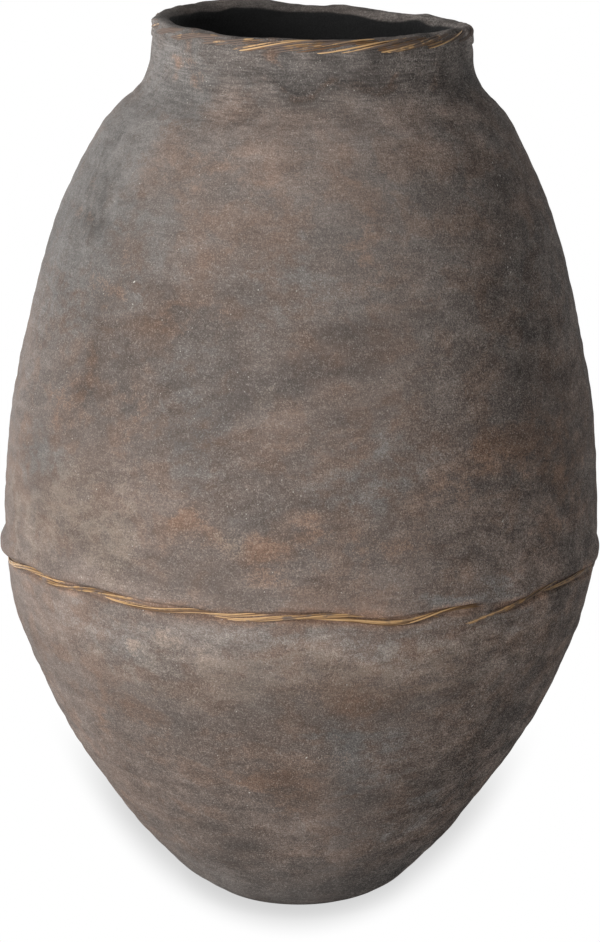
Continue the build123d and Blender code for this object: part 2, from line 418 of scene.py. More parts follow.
class PithosWall(bpy.types.PropertyGroup):
    """Sizes of the clay."""

    foot_radius: length("Foot radius", "Radius of the flat foot", 0.077)
    heel_slope: angle("Heel slope", "Slope of the wall where it leaves the foot", 27.0)
    heel_run: length("Heel run", "Level reach of the heel's curve", 0.078)
    heel_rise: length("Heel rise", "Height of the heel's curve", 0.064)
    seam_radius: length("Seam radius", "Radius where the two halves meet", 0.295)
    seam_height: length("Seam height", "Height where the two halves meet", 0.366)
    seam_lean: angle("Seam lean", "Outward lean of the wall at the seam", 2.2)
    shoulder_radius: length("Shoulder radius", "Radius at the turn of the shoulder", 0.208)
    shoulder_rise: length("Shoulder rise", "Height of the shoulder above the seam", 0.406)
    shoulder_lean: angle("Shoulder lean", "Inward lean of the wall at the shoulder", 27.0)
    neck_radius: length("Neck radius", "Radius of the plumb neck", 0.157)
    neck_rise: length("Neck rise", "Height of the neck's foot above the shoulder", 0.079)
    neck_length: length("Neck length", "Height of the plumb neck", 0.019)
    wall: length("Wall", "Thickness of the clay", 0.020)
    base_thickness: length("Base thickness", "Thickness of the slab that the wall stands on", 0.026)
    joint_bevel: angle("Joint bevel", "Slant of the joints between the courses", 25.0)
    lip_height: length("Lip height", "Height of the lip's crest above its seat", 0.0185)
    lip_swell: length("Lip swell", "How far the lip stands out from the neck", -0.0012)
    rim_dip: length("Rim dip", "How far the rim sagged at its low place", 0.0095)
    sag_reach: length("Sag reach", "How far down the neck the rim's sag starts", 0.12)
    neck_drift: length("Neck drift", "How far the neck leans to one side", 0.003)
    lean_reach: length("Lean reach", "How far down the shoulder the neck's lean starts", 0.20)
    band_width: length("Band width", "Height of the clay smeared over the seam", 0.034)
    band_bulge: length("Band bulge", "How far the smeared clay stands out", 0.0045)


class PithosRopes(bpy.types.PropertyGroup):
    """Sizes of the two straw ropes."""

    belly_depth: length("Belly rope depth", "Depth of the belly rope's middle inside the wall", 0.0021)
    belly_orbit: length("Belly strand orbit", "From the belly rope's middle to a strand's", 0.0024)
    belly_straw: length("Belly straw radius", "Radius of a straw in the belly rope", 0.00056)
    belly_strands: count("Belly strands", "Strands in the belly rope", 2)
    belly_turns: count("Belly turns", "Turns of the belly rope's lay", 8)
    rim_depth: length("Rim rope depth", "From the neck's face in to the rim rope's middle", 0.0070)
    rim_drop: length("Rim rope drop", "From the lip's crest down to the rim rope's middle", 0.0075)
    rim_orbit: length("Rim strand orbit", "From the rim rope's middle to a strand's", 0.0042)
    rim_straw: length("Rim straw radius", "Radius of a straw in the rim rope", 0.00082)
    rim_strands: count("Rim strands", "Strands in the rim rope", 4)
    rim_turns: count("Rim turns", "Turns of the rim rope's lay", 6)


class PithosFinish(bpy.types.PropertyGroup):
    """Colours and grain of the clay and the straw."""

    brown: colour("Brown slip", "Main colour of the slip", (0.156, 0.115, 0.094))
    ash: colour("Ash", "Blue-grey patches", (0.137, 0.126, 0.118))
    rust: colour("Rust", "Rusty patches", (0.202, 0.116, 0.074))
    char: colour("Char", "Dark smears", (0.060, 0.049, 0.044))
    pale: colour("Pale clay", "Pale rubbed places", (0.215, 0.174, 0.141))
    # Near-black colour of the inside of the jar below the lip
    soot: colour("Near_black", "Inside of the jar", (0.012, 0.012, 0.012))
    speck: colour("Specks", "Grit that shows white", (0.55, 0.52, 0.47))
    straw_gold: colour("Gold straw", "Bright straw", (0.58, 0.364, 0.173))
    straw_brown: colour("Brown straw", "Old straw", (0.13, 0.066, 0.028))
    grain: length("Grain", "Size of a grain of grit", 0.0010)
    clay_depth: length("Clay depth", "Depth of the grit and the brush lines", 0.0007)
    straw_depth: length("Straw depth", "Depth of the straw's fibres", 0.0004)
    brush_slope: amount("Brush slope", "Climb of the slanted brush lines", 0.42)


class PithosStage(bpy.types.PropertyGroup):
    """Camera, lights and the floor's shadow."""

    camera_distance: length("Camera distance", "From the jar's axis to the camera", 3.6198)
    camera_height: length("Camera height", "Height of the camera above the floor", 1.3707)
    camera_side: length("Camera side", "Sideways place of the camera", -0.0013)
    camera_pitch: angle("Camera pitch", "How far the camera looks down", 14.52)
    camera_roll: angle("Camera roll", "How far the camera is turned about its own axis", 1.055)
    focal_length: amount("Focal length", "Lens in millimetres on a 36 mm side", 142.4)
    key_power: amount("Key power", "Power of the window light on the left", 93.0, "POWER")
    key_turn: angle("Key turn", "Direction of the window light, left of the camera", 39.0)
    left_power: amount("Left edge power", "Power of the light behind on the left", 48.0, "POWER")
    left_turn: angle("Left edge turn", "Direction of the light behind on the left", 140.0)
    right_power: amount("Right edge power", "Power of the light behind on the right", 11.0, "POWER")
    right_turn: angle("Right edge turn", "Direction of the light behind on the right", -135.0)
    fill: amount("Fill", "Strength of the light from all round", 0.26)
    shadow_bend: length("Shadow bend", "Half width of the floor shadow's blunt front", 0.16)
    shadow_widening: amount("Shadow widening", "How fast the floor shadow widens behind the foot", 0.35)
    shadow_soft: length("Shadow softness", "Width of the floor shadow's edge", 0.036)
    shadow_dark: amount("Shadow darkness", "Light that the floor shadow takes away", 0.32)


def smooth(value, low, high):
    """Eases from 0 at low to 1 at high, level at both ends."""
    share = np.clip((value - low) / (high - low), 0, 1)
    return share * share * (3 - 2 * share)


def swing(azimuth, middle):
    """Degrees from a direction in degrees to an azimuth in radians, the short way round."""
    return (np.degrees(azimuth) - middle + 180) % 360 - 180


def bell(value, spread):
    """Bell curve of height 1."""
    return np.exp(-((value / spread) ** 2))


def towards(azimuth, middle, half_width):
    """Bell curve round the jar, 1 at a direction, with both angles in degrees."""
    return bell(swing(azimuth, middle), half_width)


def bumps(azimuth, table):
    """Sum of bell curves round the jar, each with its direction, height and half width."""
    return sum(height * towards(azimuth, middle, half) for middle, height, half in table)


def spots(height, azimuth, table):
    """Sum of bell-shaped spots on the wall, each a bell curve up the wall times one round it."""
    total = 0
    for middle, half_width, level, half_height, most in table:
        upright = bell(height - level * MM, half_height * MM)
        total = total + most * np.outer(upright, towards(azimuth, middle, half_width))
    return total


def round_the_jar():
    """Azimuths of the columns, in radians."""
    return np.arange(COLUMNS) * TURN / COLUMNS - np.pi


def ripple(kind, along, azimuth, waves=64):
    """Noise on the jar: a sum of level-and-upright waves with random headings and phases, each with a whole
    number of waves round the jar, so that the noise closes on itself."""
    most, wide, tall, seed = NOISE[kind]
    draw = np.random.default_rng(seed)
    turns = np.rint(draw.normal(0, MEAN_RADIUS / wide, waves))
    climb = draw.normal(0, 1 / tall, waves)
    phase = draw.uniform(0, TURN, waves)
    upright = np.exp(1j * (np.outer(along, climb) + phase))
    around = np.exp(1j * np.outer(turns, azimuth))
    return most * ((upright @ around).real * np.sqrt(2 / waves))


def level_ripple(kind, azimuth):
    """The same noise on one level of the jar."""
    return ripple(kind, [0], azimuth)[0]


def arc(start, way, finish, steps=120):
    """Arc that leaves start along way and ends at finish: the chord to each point turns away from the
    tangent by a growing share of the whole chord's turn, and its length goes with the sine of that
    angle."""
    chord = finish - start
    turn = np.angle(chord / way)
    share = np.linspace(0, 1, steps) * turn
    return start + abs(chord) / np.sin(turn) * np.sin(share) * way / abs(way) * np.exp(1j * share)


def biarc(start, start_way, finish, finish_way):
    """Two arcs, smooth where they meet, whose corners lie equally far along the two end tangents."""
    span = finish - start
    spread = 2 - 2 * (start_way * np.conj(finish_way)).real
    along = 2 * (span * np.conj(start_way + finish_way)).real
    reach = (np.sqrt(along**2 + 4 * spread * abs(span) ** 2) - along) / (2 * spread)
    before = start + start_way * reach
    after = finish - finish_way * reach
    meeting = (before + after) / 2
    return np.concatenate([arc(start, start_way, meeting), arc(meeting, after - before, finish)[1:]])


class WallLine:
    """The wall's outer section from the foot's edge to the lip's seat, measured by length along it."""

    def __init__(self, wall):
        self.thickness = wall.wall
        seam = wall.seam_radius + 1j * wall.seam_height
        shoulder = wall.shoulder_radius + 1j * (wall.seam_height + wall.shoulder_rise)
        neck = wall.neck_radius + 1j * (shoulder.imag + wall.neck_rise)
        foot = wall.foot_radius + 0j
        heel = foot + wall.heel_run + 1j * wall.heel_rise
        heel_start_way = np.exp(1j * wall.heel_slope)
        heel_way = (heel - foot) / abs(heel - foot)
        heel_end_way = heel_way**2 / heel_start_way
        seam_way = 1j * np.exp(-1j * wall.seam_lean)
        shoulder_way = 1j * np.exp(1j * wall.shoulder_lean)
        lower = np.concatenate([
            arc(foot, heel_start_way, heel),
            biarc(heel, heel_end_way, seam, seam_way)[1:],
        ])
        upper = np.concatenate([
            biarc(seam, seam_way, shoulder, shoulder_way)[1:],
            biarc(shoulder, shoulder_way, neck, 1j)[1:],
        ])
        plumb = neck + 1j * wall.neck_length * np.linspace(0, 1, 20)[1:]
        self.points = np.concatenate([lower, upper, plumb])
        self.along = np.concatenate([[0], np.cumsum(abs(np.diff(self.points)))])
        self.seam = self.along[len(lower) - 1]
        self.neck = self.along[len(lower) + len(upper) - 1]
        self.end = self.along[-1]
        ways = np.gradient(self.points, self.along)
        self.ways = ways / abs(ways)

    def place(self, along):
        """Points of the outer wall."""
        return np.interp(along, self.along, self.points)

    def out(self, along):
        """Directions square to the wall, away from the clay."""
        return np.interp(along, self.along, self.ways) * -1j

    def inner(self, along):
        """Points of the inner wall, one thickness in from the outer ones."""
        return self.place(along) - self.thickness * self.out(along)

    def cuts(self, wall):
        """Where the joints between the courses meet the outer wall, then where they meet the inner one."""
        thirds = np.arange(1, 4) / 3
        lower = self.seam * thirds
        upper = self.seam + (self.neck - self.seam) * thirds
        slab = np.interp(wall.base_thickness, self.points.imag, self.along)
        fine = np.linspace(0, self.seam, 2000)
        floor = np.interp(wall.base_thickness, self.inner(fine).imag, fine)
        slant = self.thickness * np.tan(wall.joint_bevel)
        outer = np.concatenate([[slab], lower, upper, [self.end]])
        inner = np.concatenate([[floor], lower + slant, upper + slant, [self.end]])
        return outer, inner


def crowded(start, stop, step, fine_step, middle, reach):
    """Places from start to stop, a step apart, drawn closer together about the middle."""
    fine = np.linspace(start, stop, 1500)
    crowd = 1 / step + (1 / fine_step - 1 / step) * bell(fine - middle, reach)
    passed = np.concatenate([[0], np.cumsum((crowd[1:] + crowd[:-1]) / 2 * np.diff(fine))])
    return np.interp(np.linspace(0, passed[-1], int(np.ceil(passed[-1])) + 1), passed, fine)


def joined(parts):
    """Runs of places that share their ends, as one run, with the numbers of the shared places in it."""
    run = np.concatenate([parts[0], *[part[1:] for part in parts[1:]]])
    return run, np.cumsum([0] + [len(part) - 1 for part in parts])


def rope_wander(azimuth):
    """Height of the belly rope over the seam: a little above it, less its bell-shaped sags."""
    return ROPE_RISE - MM * bumps(azimuth, ROPE_SAGS)


def rope_fork(azimuth, strand):
    """How far a strand of the belly rope forks off below the rope: it leaves it under the clay and comes
    back in a longer sweep."""
    drop = 0
    for middle, depth, forked in ROPE_FORKS:
        away = swing(azimuth, middle)
        sweep = smooth(away, -FORK_LEAVE, 0) * (1 - smooth(away, 0, FORK_RETURN))
        drop = drop + depth * MM * (strand == forked) * sweep
    return drop


def rope_gap(line, along, azimuth):
    """Height over the belly rope's middle, measured along the wall."""
    return along - line.seam - rope_wander(azimuth)


def rope_bed(line, along, azimuth):
    """Share of the belly rope's bed at each place: 1 along the rope, easing to 0 at its ragged edges."""
    gap = abs(rope_gap(line, along[:, None], azimuth))
    return 1 - smooth(gap + ripple("bed_edge", along, azimuth), *BED_EDGE)


def rope_cover(azimuth):
    """Share of the belly rope that clay was smeared over: a few places in front, and chance ones behind."""
    behind = smooth(abs(swing(azimuth, -90)), *COVERS_BEHIND)
    chance = smooth(level_ripple("smears", azimuth), *COVERS_CHANCE) * behind
    return np.clip(chance + bumps(azimuth, ROPE_COVERS), 0, 1)


def rope_stain(line, along, azimuth):
    """Rust that the straw left on the clay: a bell curve about the rope's middle, strongest in front, but
    not where clay was smeared over the rope."""
    strength = STAIN + bumps(azimuth, STAIN_FRONT)
    return strength * bell(rope_gap(line, along, azimuth), STAIN_REACH) * (1 - rope_cover(azimuth))


def relief(line, along, azimuth):
    """How far the outer skin stands off the wall line: soft lumps, finger dents, wrinkles on the left
    shoulder and level tool ridges, which fade out at the foot and under the lip, and the wall's swells,
    less the belly rope's bed, which is filled where clay covers the rope."""
    height = line.place(along).imag
    wrinkled = spots(height, azimuth, WRINKLED)
    rough = ripple("lumps", along, azimuth) + ripple("ridges", along, azimuth)
    rough = rough + (1 + WRINKLED_DENTS * wrinkled) * ripple("dents", along, azimuth)
    rough = rough + wrinkled * ripple("wrinkles", along, azimuth)
    faded = smooth(along, 0, FOOT_FADE) * smooth(line.end - along, 0, LIP_FADE)
    bed = rope_bed(line, along, azimuth) * (BED_DEPTH - COVER_FILL * rope_cover(azimuth))
    return rough * faded[:, None] + MM * spots(height, azimuth, SWELLS) - bed


def relief_over_seam(line, along, azimuth):
    """The outer skin's relief at a grid of places a little over the seam, read between rows half a
    millimetre apart."""
    fine = line.seam + np.linspace(-0.01, 0.06, 141)
    rows = relief(line, fine, azimuth)
    place = (along - fine[0]) / (fine[1] - fine[0])
    below = np.clip(np.floor(place).astype(int), 0, len(fine) - 2)
    column = np.arange(len(azimuth))
    return rows[below, column] + (place - below) * (rows[below + 1, column] - rows[below, column])


def lip_seat(wall):
    """Height of the neck's top, where the lip sits."""
    return wall.seam_height + wall.shoulder_rise + wall.neck_rise + wall.neck_length


def stand(section, azimuth):
    """Carries section points round the jar's axis to their places, then lets the neck lean and the rim sag:
    both grow smoothly from the shoulder to the lip."""
    wall = bpy.context.scene.pithos_wall
    radius, height = section.real, section.imag
    top = lip_seat(wall)
    sag = wall.rim_dip * towards(azimuth, *RIM_DIP) + MM * bumps(azimuth, RIM_SAGS)
    sag = sag * smooth(height, top - wall.sag_reach, top + FULL_SAG)
    drift = wall.neck_drift * smooth(height, top - wall.lean_reach, top)
    return np.stack([radius * np.cos(azimuth) + drift, radius * np.sin(azimuth), height - sag], axis=-1)


def grid_normals(points):
    """Unit normals of a grid that closes in its columns: across its columns times along its rows."""
    across = np.roll(points, -1, axis=1) - np.roll(points, 1, axis=1)
    upward = np.gradient(points, axis=0)
    normals = np.cross(across, upward)
    return normals / np.linalg.norm(normals, axis=-1, keepdims=True)


def grid_faces(rows, columns, closed_rows):
    """Four-cornered faces of a grid that closes in its columns, and in its rows too if asked."""
    row = np.arange(rows if closed_rows else rows - 1)[:, None]
    column = np.arange(columns)[None, :]
    next_row = (row + 1) % rows
    next_column = (column + 1) % columns
    corners = [row * columns + column, row * columns + next_column,
               next_row * columns + next_column, next_row * columns + column]
    return np.stack(np.broadcast_arrays(*corners), axis=-1).reshape(-1, 4)


def make_piece(name, points, faces, normals, masks, material, node):
    """Puts a surface into a mesh with its normals and masks, and stands it for its CAD node."""
    mesh = bpy.data.meshes.new(name)
    mesh.from_pydata(points.reshape(-1, 3), [], faces, shade_flat=False)
    for mask, values in masks.items():
        values = np.asarray(values, dtype=np.float32)
        kind, key = ("FLOAT", "value") if values.ndim == 1 else ("FLOAT_VECTOR", "vector")
        layer = mesh.attributes.new(mask, kind, "POINT")
        layer.data.foreach_set(key, values.ravel())
    mesh.materials.append(material)
    if normals is not None:
        mesh.normals_split_custom_set_from_vertices(normals.reshape(-1, 3).tolist())
    mesh.validate()
    piece = bpy.data.objects.new(name, mesh)
    bpy.context.scene.collection.objects.link(piece)
    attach(piece, "root")
    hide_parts(node)
    return piece


def wall_masks(along, section, azimuth):
    """Masks of the outer wall, without the inner black or the inner lip's darkening. A mark falls off as a
    tilted bell curve from its middle, over places that noise has shifted, so that its edge is ragged, and a
    glint, a painted highlight, is the one place nearest to it. Slant says where the brush lines climb. Bare
    and side shade says how much of the grit shows: more low down, less on the shoulder and where hands rubbed
    the wall, and more on the right, which paints the grit's stronger shading where light grazes that side."""
    up = section.imag[:, None]
    shift = ripple("marks_across", along, azimuth) + 1j * ripple("marks_up", along, azimuth)
    masks = {}
    for kind, marks in MARKS.items():
        masks[kind] = np.zeros(shift.shape)
        for middle, height, half_width, half_height, tilt, strength in marks:
            across = np.radians(swing(azimuth, middle)) * section.real[:, None]
            away = (across + 1j * (up - height * MM) + shift) * np.exp(-1j * np.radians(tilt)) / MM
            square = (away.real / half_width) ** 2 + (away.imag / half_height) ** 2
            masks[kind] += strength * np.exp(-square / 2)
    for kind in ("glint", "soot", "smoke"):
        masks[kind] = np.zeros(shift.shape)
    # Each glint is a painted highlight: one white dot at the nearest place
    for middle, height in GLINTS:
        row = abs(section.imag - height * MM).argmin()
        column = abs(swing(azimuth, middle)).argmin()
        masks["glint"][row, column] = abs(section.imag[row] - height * MM) < GLINT_REACH
    masks["slant"] = np.broadcast_to(bell(up - SLANT_HEIGHT, SLANT_REACH), shift.shape)
    # More towards the right is painted shading: grazing light shows the grit more there
    right = np.cos(azimuth)
    bare = BARE_LEAST + sum(most * smooth(right, low, high) for low, high, most in PAINTED_SIDE_CONTRAST)
    low_down = BARE_LOW * smooth(BARE_LOW_FROM - up, 0, BARE_LOW_REACH)
    bare = bare * (1 + low_down - spots(section.imag, azimuth, VEILED))
    masks["bare"] = bare * (1 - spots(section.imag, azimuth, RUBBED))
    return masks


def mouth_masks(section, azimuth, crest, first_row):
    """Near-black on the inside of the jar and a darkening of the lip's inner side above it: both ease in with
    the depth under the lip's crest, past an edge that is ragged and rises at the mouth's two ends."""
    rise = INNER_BLACK_RISE * bumps(azimuth, MOUTH_ENDS)
    depth = crest - section.imag + ripple("inner_black_edge", section[:, 0].imag, azimuth) + rise
    inside = np.arange(len(section))[:, None] >= first_row
    return {
        "soot": np.where(inside, smooth(depth, *INNER_BLACK_EDGE), 0),
        "smoke": np.where(inside, smooth(depth, *INNER_LIP_DARK_EDGE), 0),
    }


def lip_section(wall):
    """The lip's section from its outer seat over the crest to its inner seat: half a superellipse on two
    short flanks, one easing out from the neck's face and one plumb."""
    seat = lip_seat(wall)
    flank = LIP_FLANK * wall.lip_height
    outside = wall.neck_radius + wall.lip_swell
    inside = wall.neck_radius - wall.wall
    middle = (outside + inside) / 2 + 1j * (seat + flank)
    turn = np.linspace(0, np.pi, LIP_ROWS)
    power = 2 / LIP_SQUARENESS
    across = np.sign(np.cos(turn)) * abs(np.cos(turn)) ** power * (outside - inside) / 2
    up = np.sin(turn) ** power * (wall.lip_height - flank)
    rise = np.linspace(0, 1, 6)[:-1]
    outer_flank = wall.neck_radius + wall.lip_swell * smooth(rise, 0, 1) + 1j * (seat + flank * rise)
    inner_flank = inside + 1j * (seat + flank * rise[::-1])
    return np.concatenate([outer_flank, middle + across + 1j * up, inner_flank])


def lip_relief(section, azimuth, wall, ropes):
    """How far the lip's clay stands off its section: soft lumps, a coat over the rope that is thin in front
    and thick behind, and the strands' own swell, which follows the rope's lay round the lip and is
    strongest on the right."""
    way = np.arange(len(section)) * LIP_STEP
    lumps = ripple("lip_lumps", way, azimuth) + ripple("lip_dents", way, azimuth)
    middle = wall.neck_radius - wall.wall / 2
    outer_side = smooth(section.real, middle - LIP_SOFT, middle + LIP_SOFT)[:, None]
    coat = COAT - COAT_WORN * towards(azimuth, -90, 58) + ripple("lip_coat", way, azimuth)
    facing = np.angle(section - rim_rope_middle(wall, ropes))[:, None]
    swell = STRAND_SWELL * np.cos(ropes.rim_strands * (facing - rim_lay(azimuth, ropes)))
    swell = swell * (0.25 + 0.75 * towards(azimuth, -30, 45))
    faded = smooth(way, 0, LIP_SOFT) * smooth(way[-1] - way, 0, LIP_SOFT)
    return (lumps + outer_side * (coat + swell)) * faded[:, None]


def rim_rope_middle(wall, ropes):
    """Middle of the rim rope in the lip's section."""
    return wall.neck_radius - ropes.rim_depth + 1j * (lip_seat(wall) + wall.lip_height - ropes.rim_drop)


def rim_lay(azimuth, ropes):
    """Angle that the rim rope's strands have turned through: whole turns, drawn out on one side."""
    return ropes.rim_turns * azimuth - LAY_DRAW * np.sin(azimuth + LAY_DRAW_AT) + LAY_START


def jar_skin(wall, ropes):
    """The whole skin as one grid, up the outside, over the lip and down the inside, with its normals, its
    masks and the rows that belong to each piece."""
    line = WallLine(wall)
    azimuth = round_the_jar()
    outer_cuts, inner_cuts = line.cuts(wall)
    outer, outer_edges = joined([
        crowded(a, b, WALL_STEP, SEAM_STEP, line.seam, SEAM_REACH)
        for a, b in zip([0, *outer_cuts], outer_cuts)])
    inner, inner_edges = joined([
        np.linspace(b, a, max(3, int(abs(b - a) / INNER_STEP)))
        for a, b in zip(inner_cuts[-2::-1], inner_cuts[::-1])])

    floor = wall.foot_radius * np.linspace(POLE_SHARE, 1, DISC_ROWS)[:-1] + 0j
    outside = line.place(outer)
    lip = lip_section(wall)
    inside = line.inner(inner)
    slab_top = inside[-1].real * np.linspace(1, POLE_SHARE, DISC_ROWS)[1:] + 1j * wall.base_thickness

    lip_ways = np.gradient(lip)
    lip_out = -1j * lip_ways / abs(lip_ways)
    inner_relief = ripple("inner_lumps", inner, azimuth) * smooth(line.end - inner, 0, INNER_FADE)[:, None]
    section = np.concatenate([
        np.repeat(floor[:, None], COLUMNS, axis=1),
        outside[:, None] + line.out(outer)[:, None] * relief(line, outer, azimuth),
        (lip[:, None] + lip_out[:, None] * lip_relief(lip, azimuth, wall, ropes))[1:-1],
        inside[:, None] - line.out(inner)[:, None] * inner_relief,
        np.repeat(slab_top[:, None], COLUMNS, axis=1),
    ])
    section = section.real + 1j * np.maximum(section.imag, 0)
    points = stand(section, azimuth)

    masks = wall_masks(outer, outside, azimuth)
    masks["rust"] += rope_stain(line, outer[:, None], azimuth)
    beyond = ((len(floor), len(section) - len(floor) - len(outer)), (0, 0))
    masks = {kind: np.pad(values, beyond, mode="edge") for kind, values in masks.items()}
    masks.update(mouth_masks(section, azimuth, lip.imag.max(), len(floor) + len(outer) + len(lip) // 2))

    first_outer = len(floor)
    first_lip = first_outer + len(outer) - 1
    first_inner = first_lip + len(lip) - 1
    slab_end = first_outer + outer_edges[1] + 1
    rows = {"base_slab": np.r_[0:slab_end, first_inner + len(inner) - 1:len(section)]}
    for number, name in enumerate(COURSES):
        up = np.arange(outer_edges[number + 1], outer_edges[number + 2] + 1) + first_outer
        down_from = len(COURSES) - 1 - number
        down = np.arange(inner_edges[down_from], inner_edges[down_from + 1] + 1) + first_inner
        rows[name] = np.concatenate([up, down])
    rows["rim_lip"] = np.arange(first_lip, first_inner + 1)
    return points, grid_normals(points), masks, rows


def clay_piece(node, skin, material):
    """Cuts one piece out of the skin: its rows close into a ring, or end in a pole under and over the
    slab."""
    points, normals, masks, rows = skin
    take = rows[node]
    faces = grid_faces(len(take), COLUMNS, closed_rows=node != "base_slab").tolist()
    points, normals = points[take].reshape(-1, 3), normals[take].reshape(-1, 3)
    masks = {kind: values[take].ravel() for kind, values in masks.items()}
    if node == "base_slab":
        last = len(points) - COLUMNS
        column = np.arange(COLUMNS)
        next_column = (column + 1) % COLUMNS
        under = np.full(COLUMNS, len(points))
        over = under + 1
        faces += np.stack([under, next_column, column], axis=-1).tolist()
        faces += np.stack([last + column, last + next_column, over], axis=-1).tolist()
        poles = np.array([points[:COLUMNS].mean(axis=0), points[last:].mean(axis=0)])
        points = np.concatenate([points, poles])
        normals = np.concatenate([normals, [[0, 0, -1], [0, 0, 1]]])
        masks = {kind: np.concatenate([values, values[[0, -1]]]) for kind, values in masks.items()}
    return make_piece(f"{node}_clay", points, faces, normals, masks, material, node)


def belly_band(wall, material):
    """Clay roll over the seam: the skin above the rope, swollen by a lopsided hump that is highest on the
    left and ends in a ragged feathered edge, on a back sunk in the wall."""
    line = WallLine(wall)
    azimuth = round_the_jar()
    share = np.linspace(0, 1, BAND_ROWS)[:, None]
    width = wall.band_width - BAND_TRIM + level_ripple("band_edge", azimuth)
    along = line.seam + (rope_wander(azimuth) + BAND_START) + share * width
    hump = smooth(share, 0, BAND_FEATHER) * smooth(1 - share, 0, BAND_FEATHER)
    high = (BAND_LEAST + bumps(azimuth, BAND_HUMPS)) * (1 + level_ripple("band_height", azimuth))
    skin = np.maximum(relief_over_seam(line, along, azimuth), BAND_DIP)
    swell = wall.band_bulge * high * hump - BAND_EDGE_DEPTH * (1 - hump)
    front = line.place(along) + line.out(along) * (skin + swell)
    back_along = along[np.linspace(BAND_ROWS - 1, 0, BAND_BACK_ROWS).astype(int)]
    back = line.place(back_along) - line.out(back_along) * BAND_BACK_DEPTH
    points = stand(np.concatenate([front, back]), azimuth)
    normals = np.concatenate([grid_normals(points[:BAND_ROWS]), grid_normals(points[BAND_ROWS:])])

    outer = along.mean(axis=1)
    masks = wall_masks(outer, line.place(outer), azimuth)
    masks["rust"] += rope_stain(line, along, azimuth)
    # Char and painted shade: the band's lower part is darkened where shade falls under its hump
    masks["char"] += BAND_CHAR_AND_SHADE * (1 - smooth(share, 0.1, 0.55))
    behind = ((0, BAND_BACK_ROWS), (0, 0))
    masks = {kind: np.pad(values, behind, mode="edge").ravel() for kind, values in masks.items()}
    faces = grid_faces(BAND_ROWS + BAND_BACK_ROWS, COLUMNS, closed_rows=True).tolist()
    return make_piece("belly_band_clay", points, faces, normals, masks, material, "belly_band")


def straw_rope(name, node, seed, centre, lay, dusty, strands, orbit, straw_radius, loose, gold, blade,
               uneven):
    """Rope of loose straws. Each strand winds round the rope's middle as the lay says and its straws wind
    round the strand, ten about three. A straw is a tapered tube, drawn in the section's plane, that runs
    for part of the way round. Loose says how far the straws slip round their strand, gold how bright they
    are, blade how much a strand's outermost straws outshine the others, dusty how much clay lies on them
    round the jar, and uneven how much that differs from straw to straw."""
    draw = np.random.default_rng(seed)
    strand, slot, piece = (side.ravel() for side in np.meshgrid(
        np.arange(strands), np.arange(OUTER_STRAWS + INNER_STRAWS), np.arange(STRAWS_ROUND), indexing="ij"))
    straws = len(strand)
    start = (piece + draw.uniform(-START_SCATTER, START_SCATTER, straws)) / STRAWS_ROUND * TURN
    span = TURN / STRAWS_ROUND * draw.uniform(*SPANS, straws)
    share = np.linspace(0, 1, STRAW_RINGS)
    azimuth = start[:, None] + span[:, None] * share
    turned = lay(azimuth) + (strand * TURN / strands)[:, None]
    slip = loose * draw.uniform(-SLIP, SLIP, straws)[:, None] * (azimuth - start[:, None])
    outer = slot < OUTER_STRAWS
    seat = np.where(outer, slot / OUTER_STRAWS, slot / INNER_STRAWS) * TURN
    seat = seat + draw.normal(0, SEAT_SCATTER, straws)
    ring = np.where(outer, OUTER_RING, INNER_RING) * straw_radius * draw.uniform(*RING_SPREAD, straws)
    middle = centre(azimuth, strand[:, None]) + orbit * np.exp(1j * turned)
    middle = middle + ring[:, None] * np.exp(1j * (turned + seat[:, None] + slip))
    taper = np.clip(np.minimum(share, 1 - share) * TAPER_RATE, TAPER_END, 1) ** TAPER_POWER
    thick = straw_radius * draw.uniform(*THICKNESS_SPREAD, straws)[:, None] * taper
    around = np.exp(1j * np.arange(STRAW_SIDES) * TURN / STRAW_SIDES)
    section = middle[..., None] + thick[..., None] * around
    body = stand(section, np.broadcast_to(azimuth[..., None], section.shape)).reshape(straws, -1, 3)
    tips = stand(middle[:, [0, -1]], azimuth[:, [0, -1]])
    points = np.concatenate([body, tips], axis=1)

    tube = grid_faces(STRAW_RINGS, STRAW_SIDES, closed_rows=False)[:, ::-1]
    side = np.arange(STRAW_SIDES)
    next_side = (side + 1) % STRAW_SIDES
    last = (STRAW_RINGS - 1) * STRAW_SIDES
    tip = np.full(STRAW_SIDES, STRAW_RINGS * STRAW_SIDES)
    fans = np.concatenate([
        np.stack([tip, side, next_side], axis=-1),
        np.stack([tip + 1, last + next_side, last + side], axis=-1),
    ])
    first = (np.arange(straws) * points.shape[1])[:, None, None]
    faces = (tube + first).reshape(-1, 4).tolist() + (fans + first).reshape(-1, 3).tolist()

    bright = np.where(slot < BLADE_STRAWS, blade, -blade)
    tone = np.clip(draw.normal(gold + bright, TONE_SPREAD - BLADE_LIKENESS * blade, straws), 0, 1)
    run = np.concatenate([np.repeat(share, STRAW_SIDES), [0, 1]]) * span[:, None] * STRAW_REACH
    run = run + FIBRE_SHIFT * np.arange(straws)[:, None]
    edge = np.concatenate([np.tile(around, STRAW_RINGS), [0, 0]]) * straw_radius
    tip_dust = dusty(azimuth[:, [0, -1]])
    dust = np.concatenate([np.repeat(dusty(azimuth), STRAW_SIDES, axis=1), tip_dust], axis=1)
    masks = {
        "tone": np.repeat(tone, points.shape[1]),
        "dust": (dust + uneven * draw.normal(0, 1, straws)[:, None]).ravel(),
        "fibre": np.stack(np.broadcast_arrays(run, edge.real, edge.imag), axis=-1).reshape(-1, 3),
    }
    return make_piece(name, points, faces, None, masks, finish_named("jar_straw"), node)


